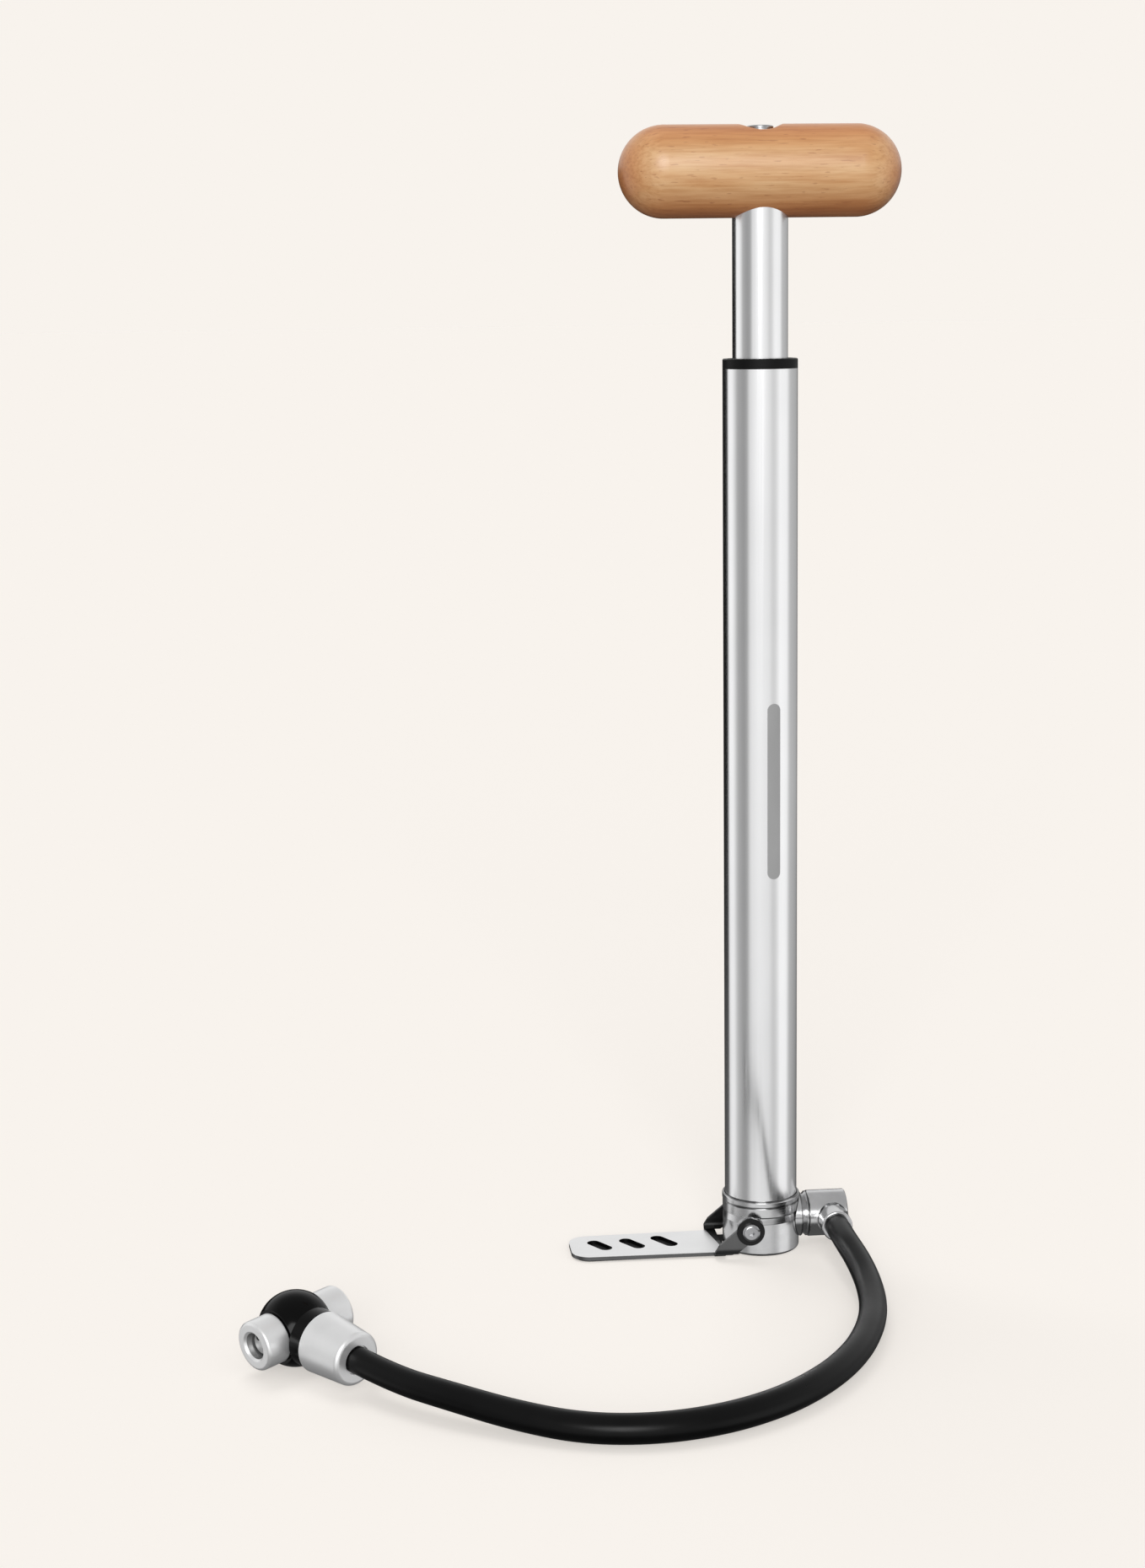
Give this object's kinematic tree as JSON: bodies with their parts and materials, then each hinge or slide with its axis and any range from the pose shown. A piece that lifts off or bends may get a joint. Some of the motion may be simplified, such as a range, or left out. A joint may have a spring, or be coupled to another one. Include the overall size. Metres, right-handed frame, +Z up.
{
  "type": "floor bike pump",
  "caption": "Slim standing bicycle pump: metal barrel on a base cup, wooden T handle, fold-out foot plate, swivelling hose with a twin valve head.",
  "frame": {"origin": "centre of the base cup's underside, on the barrel's axis", "axes": "+Z up the barrel, +X to the hose outlet, -X to the foot plate, the hose lies on the -Y side"},
  "size_m": [0.2535, 0.2054, 0.4288],
  "materials": {
    "barrel_alloy": "satin polished, drawn along the tube",
    "cup_alloy": "polished, turned",
    "outlet_alloy": "polished",
    "plate_steel": "satin",
    "fastener_steel": "bright",
    "washer_steel": "satin",
    "black_washer": "satin black",
    "black_plastic": "satin black, turned",
    "seal_rubber": "black",
    "valve_brass": "machined",
    "piston_acetal": "natural acetal",
    "plug_alloy": "machined",
    "handle_beech": "clear satin lacquer over beech",
    "hose_rubber": "satin black",
    "head_black": "gloss black",
    "nut_alloy": "fine bead blasted",
    "pin_alloy": "machined"
  },
  "bodies": {
    "base": {"base_cup": "cup_alloy", "lock_ring": "cup_alloy", "barrel_tube": "barrel_alloy", "barrel_seal": "seal_rubber", "check_valve_seat": "valve_brass", "outlet_collar": "outlet_alloy", "banjo_bolt": "fastener_steel", "swivel_seals": "seal_rubber", "top_collar": "black_plastic", "guide_bush": "black_plastic", "shaft_wiper": "seal_rubber", "pivot_screws": "fastener_steel", "pivot_washers": "black_washer"},
    "check_valve": {"valve_poppet": "valve_brass", "poppet_face": "seal_rubber", "valve_spring": "fastener_steel"},
    "foot": {"foot_plate": "plate_steel"},
    "plunger": {"piston": "piston_acetal", "piston_seal": "seal_rubber"},
    "rod": {"shaft_tube": "barrel_alloy", "shaft_lower_plug": "plug_alloy", "piston_screw": "fastener_steel", "bump_stop": "seal_rubber", "shaft_top_plug": "plug_alloy", "handle": "handle_beech", "handle_screw": "fastener_steel", "handle_washer": "washer_steel"},
    "hose_line": {"swivel_body": "outlet_alloy", "hose_stem": "outlet_alloy", "crimp_collar": "outlet_alloy", "hose": "hose_rubber", "head_ferrule": "nut_alloy", "head_body": "head_black", "valve_pin": "pin_alloy", "front_gasket": "seal_rubber", "rear_gasket": "seal_rubber"},
    "front_nut": {"front_nut": "nut_alloy"},
    "rear_nut": {"rear_nut": "nut_alloy"}
  },
  "joints": [
    {"name": "plunger_slide", "type": "slide", "parent": "base", "child": "plunger", "axis": [0, 0, 1], "range_m": [-0.05, 0.231]},
    {"name": "handle_turn", "type": "hinge", "parent": "plunger", "child": "rod", "pos_m": [0, 0, 0.4], "axis": [0, 0, 1], "continuous": true},
    {"name": "foot_fold", "type": "hinge", "parent": "base", "child": "foot", "pos_m": [-0.0067, 0, 0.0112], "axis": [0, 1, 0], "range_deg": [0, 90]},
    {"name": "check_valve_lift", "type": "slide", "parent": "base", "child": "check_valve", "axis": [0, 0, -1], "range_m": [0, 0.0015], "stiffness_N_per_m": 60, "springref_m": -0.002, "deforming": ["valve_spring"]},
    {"name": "hose_swivel", "type": "hinge", "parent": "base", "child": "hose_line", "pos_m": [0.0272, 0, 0.0118], "axis": [-1, 0, 0], "range_deg": [0, 75]},
    {"name": "front_nut_turn", "type": "hinge", "parent": "hose_line", "child": "front_nut", "pos_m": [-0.1924, -0.10771, 0.01218], "axis": [-0.7782, -0.622, -0.0869], "range_deg": [0, 360]},
    {"name": "rear_nut_turn", "type": "hinge", "parent": "hose_line", "child": "rear_nut", "pos_m": [-0.17061, -0.09029, 0.01462], "axis": [0.7782, 0.622, 0.0869], "range_deg": [0, 360]}
  ]
}
